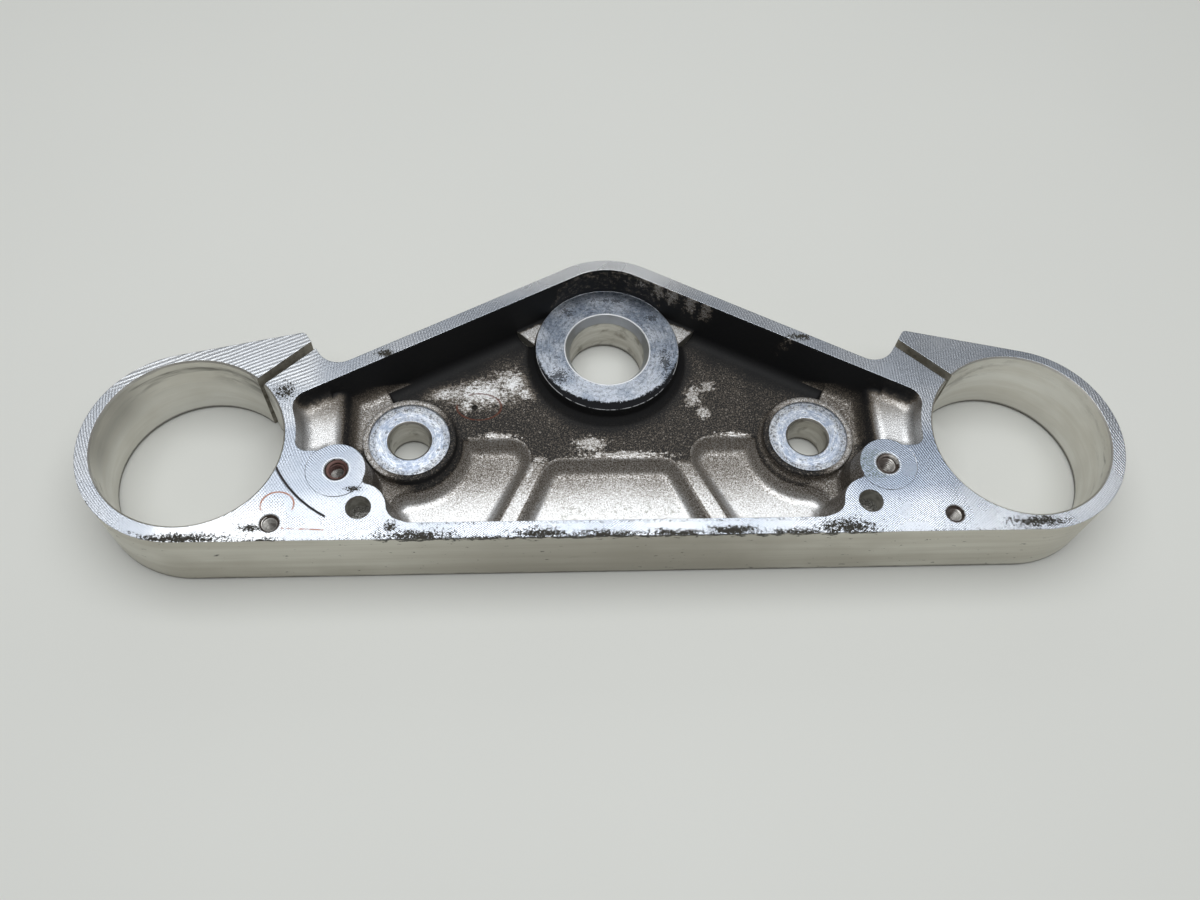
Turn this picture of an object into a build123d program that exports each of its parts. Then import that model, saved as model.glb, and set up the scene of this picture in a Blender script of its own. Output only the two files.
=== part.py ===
# Motorcycle top triple clamp: one aluminium forging, machined afterwards, lying underside up.
# Frame: origin on the steering stem axis, on the flat face that the clamp rests on.
# +X runs along the row of forks, +Y from the forks towards the stem, +Z up out of the pocket.
# Millimetres and degrees. Places in y are measured from the line through the fork centres,
# except on the lands, where they are measured from the front face.
import math
import os

from build123d import *

# Whole clamp
thickness = 26.5
fork_spacing = 246.0
stem_to_forks = 38.0
face_break = 0.8
same_place = 0.01

# Fork bores, and the walls round them towards the front, the sides and the pocket
fork_bore_r = 27.0
fork_bore_break = 0.5
front_wall = 5.0
side_wall = 4.0
ring_wall = 3.5

# Pinch ears, with the slot that splits each ring
ear_back_angle = 12.6
ear_reach = 46.4
ear_face_angle = 57.7
ear_tip_r = 1.6
slot_angle = 42.2
slot_offset = 2.2
slot_width = 3.0

# Pinch bolts across the slots
pinch_from_fork = 36.8
pinch_clear_r = 4.25
pinch_head_r = 7.0
pinch_seat = 7.0
pinch_thread_r = 3.4
pinch_thread_depth = 18.0

# Rear edge, tangent to a round nose about the stem
nose_r = 27.1
rear_angle = 27.6
rear_rim = 4.1
notch_r = 7.0

# Pocket
front_rim = 5.0
pocket_draft = 10.0
pocket_nose_r = 20.0
pocket_end_r = 5.4
floor_z = 10.0
floor_round = 3.5

# Shallow dish at each end of the pocket, ending so far in from the fork centre, and the step down from it
dish_z = 20.5
dish_round = 4.0
dish_in = 42.2
step_draft = 20.0
step_above_dish = 0.1
step_lip_r = 4.5
step_foot_r = 3.0

# Ledge between each step and the floor
ledge_z = 11.8
ledge_x = 66.4
ledge_y = 24.6
ledge_angle = 64.5
ledge_draft = 20.0
ledge_round = 1.0

# Recesses along the front, with ribs left between them
recess_z = 5.0
recess_draft = 30.0
recess_round = 3.0
recess_front_round = 3.0
lip_round = 1.8
centre_recess_top = 2.6
centre_recess_x = 20.0
centre_recess_angle = 66.5
centre_recess_r = 7.5
side_recess_top = 10.1
side_recess_in_x = 23.9
side_recess_out_x = 68.0
side_recess_angle = 62.7
side_recess_r = 8.0
side_recess_out_r = 7.5

# Land beside each fork ring, with its holes, measured in from the fork centre and up from the front face
land_up = 28.2
land_corner_r = 3.4
pad_blend_r = 2.5
dowel_blend_r = 5.0
pads_blend_r = 1.5
toe_in = 63.6
toe_r = 4.0
large_thread_in = 42.8
large_thread_up = 22.1
large_thread_r = 2.5
large_thread_mouth_r = 3.6
large_thread_depth = 18.0
large_pad_r = 8.2
large_face_r = 8.7
large_face_depth = 0.2
dowel_in = 49.8
dowel_up = 9.9
dowel_r = 3.6
dowel_depth = 10.0
dowel_pad_r = 7.6
small_thread_in = 25.8
small_thread_up = 5.4
small_thread_r = 2.1
small_thread_mouth_r = 2.95
small_thread_depth = 14.0

# Stem boss
stem_bore_r = 11.9
stem_lead_r = 13.4
stem_lead_depth = 3.0
stem_bore_break = 0.5
stem_face_r = 22.8
stem_face_z = 16.0
stem_foot = 2.5
boss_draft = 6.0
boss_root = 0.8

# Webs that tie the stem boss to the rear wall
web_z = 14.0
web_wall_x = 30.5
web_boss_x = 22.5
web_boss_y = 2.5

# Handlebar bosses
riser_spacing = 123.0
riser_y = 7.1
riser_hole_r = 6.25
riser_hole_break = 0.6
riser_face_r = 12.3
riser_face_z = 12.5
riser_rim_r = 14.0
riser_rim_z = 13.2
riser_foot = 1.0
riser_bank = 0.5

# Places worked out from the sizes above
forks_y = -stem_to_forks
front_depth = fork_bore_r + front_wall
ring_outer_r = fork_bore_r + side_wall
front_y = forks_y - front_depth
pocket_front = front_y + front_rim
land_y = front_y + land_up
fork = Vector(-fork_spacing / 2, forks_y)
ring = Vector(fork.X, front_y + ring_outer_r)
riser = Vector(-riser_spacing / 2, forks_y + riser_y)
large_thread = Vector(fork.X + large_thread_in, front_y + large_thread_up)
small_thread = Vector(fork.X + small_thread_in, front_y + small_thread_up)
dowel = Vector(fork.X + dowel_in, front_y + dowel_up)
dish_inner_x = -fork.X - dish_in
beyond = fork_spacing


def direction(angle):
    return Vector(math.cos(math.radians(angle)), math.sin(math.radians(angle)))


def crossing(a, a_angle, b, b_angle):
    """The point where the line through a meets the line through b."""
    along = direction(a_angle)
    across = direction(b_angle + 90)
    return a + along * ((b - a).dot(across) / along.dot(across))


def leaving(centre, radius, point, angle):
    """The place where the line through a point, followed along its angle, leaves a circle."""
    across = direction(angle + 90)
    away = (point - centre).dot(across)
    return centre + across * away + direction(angle) * math.sqrt(radius**2 - away**2)


def meeting(a, a_r, b, b_r):
    """The place where two circles cross, to the left of the way from a to b."""
    gap = b - a
    along = (a_r**2 - b_r**2 + gap.length**2) / (2 * gap.length)
    away = math.sqrt(a_r**2 - along**2)
    return a + gap.normalized() * along + Vector(-gap.Y, gap.X).normalized() * away


def face(*points):
    return make_face(Polyline(*[Vector(point) for point in points], close=True))


def symmetric(*left):
    """A face from the points of its left half, mirrored to the right."""
    left = [Vector(point) for point in left]
    right = [Vector(-point.X, point.Y) for point in reversed(left) if point.X]
    return face(*left, *right)


def disc(centre, radius):
    return Pos(centre.X, centre.Y) * Circle(radius)


def both(shape):
    return shape + mirror(shape, about=Plane.YZ)


def rounded(sketch, point, radius):
    """Rounds the corner nearest to a point, and its mirror image if it has one."""
    for side in (1, -1) if point.X else (1,):
        corner = sketch.vertices().sort_by_distance((side * point.X, point.Y, 0))[0]
        sketch = fillet(corner, radius)
    return sketch


def sink(sketch, depth_z, draft, top_z=thickness):
    """A hollow with drafted walls, from top_z down to depth_z."""
    hollow = extrude(sketch, amount=top_z - depth_z, taper=draft)
    if hollow.center().Z > 0:
        hollow = mirror(hollow, about=Plane.XY)
    return Pos(0, 0, top_z) * hollow


def foot(hollow, keep=lambda place: True):
    """The edges round the bottom of a hollow, or those whose middle is kept."""
    return hollow.edges().group_by(Axis.Z)[0].filter_by(lambda edge: keep(edge.center()))


# Outline of the forging
slot_line = fork + direction(slot_angle + 90) * slot_offset
ear_start = ring + direction(90 + ear_back_angle) * ring_outer_r
ear_face = slot_line + direction(slot_angle) * ear_reach
rear = direction(90 + rear_angle) * nose_r
ear_tip = crossing(ear_start, ear_back_angle, ear_face, -ear_face_angle)
notch = crossing(ear_face, -ear_face_angle, rear, rear_angle)
nose = Vector(0, nose_r / math.cos(math.radians(rear_angle)))
outline = symmetric((fork.X, front_y), ear_start, ear_tip, notch, nose) + both(disc(ring, ring_outer_r))
outline = rounded(outline, ear_tip, ear_tip_r)
outline = rounded(outline, notch, notch_r)
outline = rounded(outline, nose, nose_r)
blank = extrude(outline, amount=thickness)
clamp = chamfer(blank.edges().group_by(Axis.Z)[0], face_break)

# Mouth of the pocket, left open between the rims, the fork rings and the lands
inner_rear = direction(90 + rear_angle) * (nose_r - rear_rim)
inner_nose = nose * ((nose_r - rear_rim) / nose_r)
inner_end = crossing(inner_rear, rear_angle, fork, 90)
toe = Vector(fork.X + toe_in, pocket_front)
pads_corner = meeting(large_thread, large_pad_r, dowel, dowel_pad_r)
dowel_corner = dowel + (toe - dowel).normalized() * dowel_pad_r
land = face((fork.X, land_y), (large_thread.X, land_y), large_thread, dowel, toe, (toe.X, front_y),
            (fork.X, front_y))
land = land + disc(large_thread, large_pad_r) + disc(dowel, dowel_pad_r)
ring_clear = fork_bore_r + ring_wall
mouth = symmetric((fork.X, pocket_front), inner_end, inner_nose) - both(disc(fork, ring_clear)) - both(land)
end_corner = leaving(fork, ring_clear, inner_rear, rear_angle)
land_corner = leaving(fork, ring_clear, Vector(0, land_y), 0)
pad_corner = leaving(large_thread, large_pad_r, Vector(0, land_y), 180)
mouth = rounded(mouth, inner_nose, pocket_nose_r)
mouth = rounded(mouth, end_corner, pocket_end_r)
mouth = rounded(mouth, land_corner, land_corner_r)
mouth = rounded(mouth, pad_corner, pad_blend_r)
mouth = rounded(mouth, pads_corner, pads_blend_r)
mouth = rounded(mouth, dowel_corner, dowel_blend_r)
mouth = rounded(mouth, toe, toe_r)

# End dishes
dishes = sink(mouth, dish_z, pocket_draft)
dishes = fillet(foot(dishes, lambda place: place.Y > land_y), dish_round)
clamp = clamp - dishes

# Steps from the dishes down to the ledges, as one cross section along the clamp
fall = math.tan(math.radians(step_draft))
lip_z = dish_z + step_above_dish
lip_x = dish_inner_x + step_lip_r
step_foot_x = dish_inner_x - (lip_z - ledge_z) * fall
steps = symmetric((-lip_x - (thickness - lip_z) * fall, thickness), (-lip_x, lip_z), (-dish_inner_x, lip_z),
                  (-step_foot_x, ledge_z))
steps = rounded(steps, Vector(dish_inner_x, lip_z), step_lip_r)
steps = rounded(steps, Vector(step_foot_x, ledge_z), step_foot_r)
steps = extrude(Rot(90, 0, 0) * steps, amount=beyond, both=True)
middle_mouth = mouth & Rectangle(2 * lip_x, beyond)


def pocket(depth_z):
    """The pocket between the dishes sunk to depth_z, rounded along the foot of its rear wall."""
    hollow = sink(middle_mouth, depth_z, pocket_draft)
    return fillet(foot(hollow, lambda place: place.Y > riser.Y and abs(place.X) < -riser.X), floor_round)


clamp = clamp - (pocket(ledge_z) & steps)

# Floor between the ledges
ledge_edge = Vector(-ledge_x, forks_y + ledge_y)
ledge_rear = crossing(ledge_edge, -ledge_angle, nose, 0)
between = symmetric((fork.X, front_y - beyond), (fork.X, large_thread.Y), large_thread, riser, ledge_rear)
flare = (thickness - ledge_z) * math.tan(math.radians(ledge_draft))
between = sink(offset(between, flare, kind=Kind.INTERSECTION), floor_z, ledge_draft)
between = fillet(foot(between), ledge_round)
clamp = clamp - (pocket(floor_z) & between)

# Front recesses, which run into the front wall of the pocket
recess_end = front_y - 2 * front_rim
deep = sink(middle_mouth, recess_z, pocket_draft)
deep_front = pocket_front + (thickness - recess_z) * math.tan(math.radians(pocket_draft))
deep = fillet(foot(deep, lambda place: place.Y < deep_front + toe_r), recess_front_round)


def recess(sketch):
    hollow = sink(sketch, recess_z, recess_draft, ledge_z)
    return deep & fillet(foot(hollow), recess_round)


centre_corner = Vector(-centre_recess_x, forks_y + centre_recess_top)
centre_end = crossing(centre_corner, centre_recess_angle, Vector(0, recess_end), 0)
centre_recess = rounded(symmetric(centre_end, centre_corner), centre_corner, centre_recess_r)
clamp = clamp - recess(centre_recess)

side_top = forks_y + side_recess_top
side_start = Vector(-side_recess_in_x, forks_y)
side_corner = crossing(side_start, side_recess_angle, Vector(0, side_top), 0)
side_end = crossing(side_start, side_recess_angle, Vector(0, recess_end), 0)
side_recess = face(side_corner, (-side_recess_out_x, side_top), (-side_recess_out_x, recess_end), side_end)
riser_clear = riser_rim_r + riser_bank
out_corner = leaving(riser, riser_clear, Vector(-side_recess_out_x, 0), -90)
side_recess = side_recess - disc(riser, riser_clear)
side_recess = fillet(side_recess.vertices().sort_by_distance(side_corner)[0], side_recess_r)
side_recess = fillet(side_recess.vertices().sort_by_distance(out_corner)[0], side_recess_out_r)
clamp = clamp - both(recess(side_recess))


def on_lip(edge):
    place = edge.center()
    in_floor = abs(place.Z - floor_z) < same_place
    behind_front = pocket_front + front_rim < place.Y < side_top + lip_round
    clear_of_riser = (Vector(-abs(place.X), place.Y) - riser).length > riser_clear + lip_round
    return in_floor and behind_front and clear_of_riser and abs(place.X) < -riser.X


clamp = fillet(clamp.edges().filter_by(on_lip), lip_round)


# Bosses
def boss(centre, radius, top_z, foot_w):
    """A drafted round boss whose foot flares out by foot_w into the floor."""
    knee_z = floor_z + foot_w
    wall = radius + (top_z - knee_z) * math.tan(math.radians(boss_draft))
    reach = wall + foot_w
    root_z = floor_z - boss_root
    section = face((0, root_z), (reach, root_z), (reach, floor_z), (wall, knee_z), (radius, top_z),
                   (0, top_z))
    return Pos(centre.X, centre.Y) * revolve(Rot(90, 0, 0) * section, Axis.Z)


web_wall = crossing(inner_rear, rear_angle, Vector(-web_wall_x, 0), 90)
web = face(web_wall, (-web_boss_x, web_boss_y), (0, 0), (0, stem_face_r))
web = Pos(0, 0, floor_z - boss_root) * extrude(web, amount=web_z - floor_z + boss_root)
clamp = clamp + boss(Vector(0, 0), stem_face_r, stem_face_z, stem_foot)
clamp = clamp + both(boss(riser, riser_rim_r, riser_rim_z, riser_foot))
clamp = clamp + both(web)


# Machining
def drill(centre, radius, mouth_z, depth, mouth_r=0.0, mouth_depth=0.0):
    """A round cutter going down from mouth_z, widened to mouth_r over its first mouth_depth."""
    cutter = Pos(0, 0, -depth / 2) * Cylinder(radius, depth)
    if mouth_depth:
        cutter = cutter + Pos(0, 0, -mouth_depth / 2) * Cone(radius, mouth_r, mouth_depth)
    return Pos(centre.X, centre.Y, mouth_z) * cutter


def through(centre, radius, mouth_z, mouth_r, mouth_depth, exit_break):
    """A drilled way right through, with its lower end broken too."""
    broken = Pos(centre.X, centre.Y, exit_break / 2) * Cone(radius + exit_break, radius, exit_break)
    return drill(centre, radius, mouth_z, mouth_z, mouth_r, mouth_depth) + broken


def tapped(centre, radius, depth, mouth_r, mouth_z=thickness):
    """A blind hole cut to the thread's core, with a sloping mouth."""
    return drill(centre, radius, mouth_z, depth, mouth_r, mouth_r - radius)


def spot_face(centre, radius, seat_z):
    """A cutter that faces everything above seat_z."""
    return drill(centre, radius, 2 * thickness, 2 * thickness - seat_z)


stem = Vector(0, 0)
stem_cuts = [
    spot_face(stem, stem_face_r, stem_face_z),
    through(stem, stem_bore_r, stem_face_z, stem_lead_r, stem_lead_depth, stem_bore_break),
]
large_face_z = thickness - large_face_depth
riser_mouth_r = riser_hole_r + riser_hole_break
fork_mouth_r = fork_bore_r + fork_bore_break
side_cuts = [
    spot_face(riser, riser_face_r, riser_face_z),
    through(riser, riser_hole_r, riser_face_z, riser_mouth_r, riser_hole_break, riser_hole_break),
    through(fork, fork_bore_r, thickness, fork_mouth_r, fork_bore_break, fork_bore_break),
    spot_face(large_thread, large_face_r, large_face_z),
    tapped(large_thread, large_thread_r, large_thread_depth, large_thread_mouth_r, large_face_z),
    tapped(small_thread, small_thread_r, small_thread_depth, small_thread_mouth_r),
    drill(dowel, dowel_r, thickness, dowel_depth),
]

# Slots and pinch bolt holes, in the frame of each slot: x out along the slot, y towards the bolt head
slot_frame = Pos(slot_line.X, slot_line.Y, thickness / 2) * Rot(0, 0, slot_angle)
slot_length = 2 * ear_reach - fork_bore_r
slot = Pos(slot_length / 2, 0) * Box(slot_length, slot_width, 2 * thickness)
bolt = Pos(pinch_from_fork, 0) * Rot(-90, 0, 0)
head_reach = ring_outer_r
clear = Pos(0, 0, head_reach / 2) * Cylinder(pinch_clear_r, head_reach)
head = Pos(0, 0, pinch_seat + head_reach / 2) * Cylinder(pinch_head_r, head_reach)
thread = Pos(0, 0, -pinch_thread_depth / 2) * Cylinder(pinch_thread_r, pinch_thread_depth)
side_cuts.append(slot_frame * slot)
side_cuts.append(slot_frame * bolt * (clear + head + thread))
clamp = clamp - stem_cuts - [both(cut) for cut in side_cuts]

os.makedirs("parts", exist_ok=True)
export_step(clamp, "parts/triple_clamp.step")
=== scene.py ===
import math

import bmesh
import bpy
from mathutils import Matrix, Vector


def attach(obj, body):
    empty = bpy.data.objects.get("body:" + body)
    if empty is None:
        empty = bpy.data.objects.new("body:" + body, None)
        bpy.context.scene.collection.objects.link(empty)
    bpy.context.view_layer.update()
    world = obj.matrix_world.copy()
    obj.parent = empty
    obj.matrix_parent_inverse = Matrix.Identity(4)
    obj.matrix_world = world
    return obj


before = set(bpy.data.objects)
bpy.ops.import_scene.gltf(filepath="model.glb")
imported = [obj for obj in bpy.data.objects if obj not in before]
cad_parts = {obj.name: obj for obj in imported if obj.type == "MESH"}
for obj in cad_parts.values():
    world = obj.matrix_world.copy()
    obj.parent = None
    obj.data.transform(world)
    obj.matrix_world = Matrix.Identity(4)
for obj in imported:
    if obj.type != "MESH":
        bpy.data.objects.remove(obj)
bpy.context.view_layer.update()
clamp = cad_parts["triple_clamp"]

# Sizes in millimetres, as in the part's source
THICKNESS = 26.5
FORK = Vector((123.0, -38.0))
FORK_R = 27.0
FRONT_Y = -70.0
STEM_FACE_R = 22.8
STEM_FACE_Z = 16.0
STEM_LEAD_R = 13.4
RISER = Vector((61.5, -30.9))
RISER_HOLE_R = 6.25
RISER_FACE_R = 12.3
RISER_FACE_Z = 12.5
LARGE_THREAD = Vector((80.2, -47.9))
LARGE_FACE_R = 8.7
LARGE_FACE_Z = 26.3
LARGE_CORE_R = 2.5
LARGE_MOUTH_R = 3.6
LARGE_PITCH = 1.0
LARGE_RIDGE_DEPTH = 17.0
SMALL_THREAD = Vector((97.2, -64.6))
SMALL_CORE_R = 2.1
SMALL_MOUTH_R = 2.95
SMALL_PITCH = 0.8
SMALL_RIDGE_DEPTH = 13.2
MOUTH_DEPTH = 1.0
DOWEL = Vector((73.2, -60.1))
DOWEL_R = 3.6
SLOT_ANGLE = math.radians(42.2)
SLOT_OFFSET = 2.2
SLOT_HALF = 1.5
PINCH_REACH = 36.8
PINCH_HEAD_R = 7.0
PINCH_SEAT = 7.0
PINCH_END = -18.0
EAR_OUTER = 16.0
REAR_ANGLE = math.radians(27.6)
INNER_NOSE_R = 23.0
POCKET_DRAFT = math.radians(10.0)
WEB_Z = 14.0
WEB_REACH = 40.0
FLOOR_Z = 10.0
LEDGE_Z = 11.8
DISH_X = 80.8
DISH_Z = 20.5

# The photograph's width and the camera's focal length, in pixels of the photograph
PHOTO_WIDTH = 1200
FOCAL_LENGTH = 1097.45
SENSOR_WIDTH = 36.0

NEAR = 0.1  # How close a place counts as being on a surface


def tone(red, green, blue):
    """A colour as seen on a screen, 0 to 255, turned into the linear values that shaders take."""
    shares = [level / 255 for level in (red, green, blue)]
    linear = [c / 12.92 if c <= 10 / 255 else ((c + 0.055) / 1.055) ** 2.4 for c in shares]
    return (*linear, 1.0)


class Value:
    """A value that changes over a surface. Arithmetic on it adds Math nodes."""

    def __init__(self, finish, socket):
        self.finish = finish
        self.socket = socket

    def math(self, operation, *others, clamp=False):
        inputs = dict(enumerate((self, *others)))
        return self.finish.node("ShaderNodeMath", {"operation": operation, "use_clamp": clamp}, inputs)

    def __add__(self, other):
        return self.math("ADD", other)

    __radd__ = __add__

    def __mul__(self, other):
        return self.math("MULTIPLY", other)

    __rmul__ = __mul__

    def __sub__(self, other):
        return self.math("SUBTRACT", other)

    def __rsub__(self, other):
        return (self * -1.0) + other

    def __truediv__(self, other):
        return self.math("DIVIDE", other)

    def __abs__(self):
        return self.math("ABSOLUTE")

    def __or__(self, other):
        return self.math("MAXIMUM", other)

    def __and__(self, other):
        return self.math("MINIMUM", other)

    def sqrt(self):
        return self.math("SQRT")

    def wave(self):
        return self.math("SINE")

    def within(self):
        return self.math("ADD", 0.0, clamp=True)


class Finish:
    """One procedural material, worked out from places on the part in millimetres."""

    def __init__(self, name):
        self.material = bpy.data.materials.new(name)
        self.material.use_nodes = True
        self.tree = self.material.node_tree
        self.tree.nodes.clear()
        metres = self.node("ShaderNodeTexCoord", output="Object")
        self.place = self.vector("SCALE", metres, scale=1000.0)
        self.x, self.y, self.z = self.parts(self.place)
        self.side = abs(self.x)

    def node(self, kind, settings=None, inputs=None, output=0):
        node = self.tree.nodes.new(kind)
        for name, value in (settings or {}).items():
            if name == "stops":
                elements = node.color_ramp.elements
                for stop, (at, colour) in enumerate(value):
                    element = elements[stop] if stop < 2 else elements.new(at)
                    element.position = at
                    element.color = colour
            else:
                setattr(node, name, value)
        for key, value in (inputs or {}).items():
            if isinstance(value, Value):
                self.tree.links.new(value.socket, node.inputs[key])
            else:
                node.inputs[key].default_value = value
        return Value(self, node.outputs[output])

    def vector(self, operation, a, b=None, scale=None):
        inputs = {0: a}
        if b is not None:
            inputs[1] = b
        if scale is not None:
            inputs["Scale"] = scale
        return self.node("ShaderNodeVectorMath", {"operation": operation}, inputs)

    def parts(self, vector):
        return [self.node("ShaderNodeSeparateXYZ", {}, {0: vector}, output=axis) for axis in range(3)]

    def facing(self):
        """The surface's own direction, as x, y and z."""
        return self.parts(self.node("ShaderNodeNewGeometry", output="Normal"))

    def noise(self, size, detail=2.0, stretch=(1.0, 1.0, 1.0), roughness=0.5, shift=0.0):
        """Cloudy noise from 0 to 1, with lumps about size millimetres across."""
        at = self.vector("MULTIPLY", self.place, stretch)
        if shift:
            at = self.vector("ADD", at, (shift, shift * 0.7, shift * 1.3))
        inputs = {"Vector": at, "Scale": 1.0 / size, "Detail": detail, "Roughness": roughness}
        return self.node("ShaderNodeTexNoise", {}, inputs)

    def rise(self, value, low, high):
        """0 below low, 1 above high, and smooth between."""
        inputs = {"Value": value, "From Min": low, "From Max": high}
        return self.node("ShaderNodeMapRange", {"interpolation_type": "SMOOTHSTEP"}, inputs)

    def fall(self, value, low, high):
        """1 below low, 0 above high, and smooth between."""
        return 1.0 - self.rise(value, low, high)

    def between(self, value, low, high, soft):
        """1 from low to high, fading out over soft at both ends."""
        return self.rise(value, low - soft, low) & self.fall(value, high, high + soft)

    def away(self, x, y, across=1.0, along=1.0):
        """Distance from a place in plan, in units of the radii across and along."""
        dx = (self.x - x) / across
        dy = (self.y - y) / along
        return (dx * dx + dy * dy).sqrt()

    def away_both(self, spot):
        """Distance in plan from a place or from its mirror image on the other side."""
        dx = self.side - spot.x
        dy = self.y - spot.y
        return (dx * dx + dy * dy).sqrt()

    def round_streaks(self, x, y, size):
        """Noise drawn out round a centre, like the smears that a washer leaves."""
        radius = (x * x + y * y).sqrt()
        around = self.node("ShaderNodeMath", {"operation": "ARCTAN2"}, {0: y, 1: x})
        polar = self.node("ShaderNodeCombineXYZ", {}, {0: radius * (1.2 / size), 1: around * 4.2})
        inputs = {"Vector": polar, "Scale": 1.0, "Detail": 5.0, "Roughness": 0.72}
        return self.node("ShaderNodeTexNoise", {}, inputs)

    def blots(self, spots, ragged, edge=0.25):
        """Marks round each (x, y, across, along), with a noise about 0 that breaks up their outline."""
        mask = None
        for x, y, across, along in spots:
            one = 1.0 - self.away(x, y, across, along)
            mask = one if mask is None else mask | one
        return self.rise(mask + ragged, 0.15, 0.15 + edge)

    def mix(self, factor, a, b):
        """Colour a where the factor is 0 and colour b where it is 1."""
        return self.node("ShaderNodeMix", {"data_type": "RGBA"}, {0: factor, 6: a, 7: b}, output=2)

    def ramp(self, value, *stops):
        """A colour for each value, from pairs of a value and a colour, the two ends first."""
        return self.node("ShaderNodeValToRGB", {"stops": stops}, {0: value})

    def bump(self, height, strength, depth, normal=None):
        """Relief from a height, with a depth in millimetres."""
        inputs = {"Height": height, "Strength": strength, "Distance": depth / 1000}
        if normal is not None:
            inputs["Normal"] = normal
        return self.node("ShaderNodeBump", {}, inputs)

    def worn_edge(self, radius):
        """Edges that look rounded to a radius in millimetres."""
        return self.node("ShaderNodeBevel", {"samples": 4}, {"Radius": radius / 1000})

    def done(self, colour, roughness, metallic, normal=None, gloss=0.5):
        """The finished material."""
        shader = self.tree.nodes.new("ShaderNodeBsdfPrincipled")
        shader.inputs["Specular IOR Level"].default_value = gloss
        output = self.tree.nodes.new("ShaderNodeOutputMaterial")
        self.tree.links.new(shader.outputs[0], output.inputs["Surface"])
        given = {"Base Color": colour, "Roughness": roughness, "Metallic": metallic, "Normal": normal}
        for name, value in given.items():
            if isinstance(value, Value):
                self.tree.links.new(value.socket, shader.inputs[name])
            elif value is not None:
                shader.inputs[name].default_value = value
        return self.material


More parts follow.
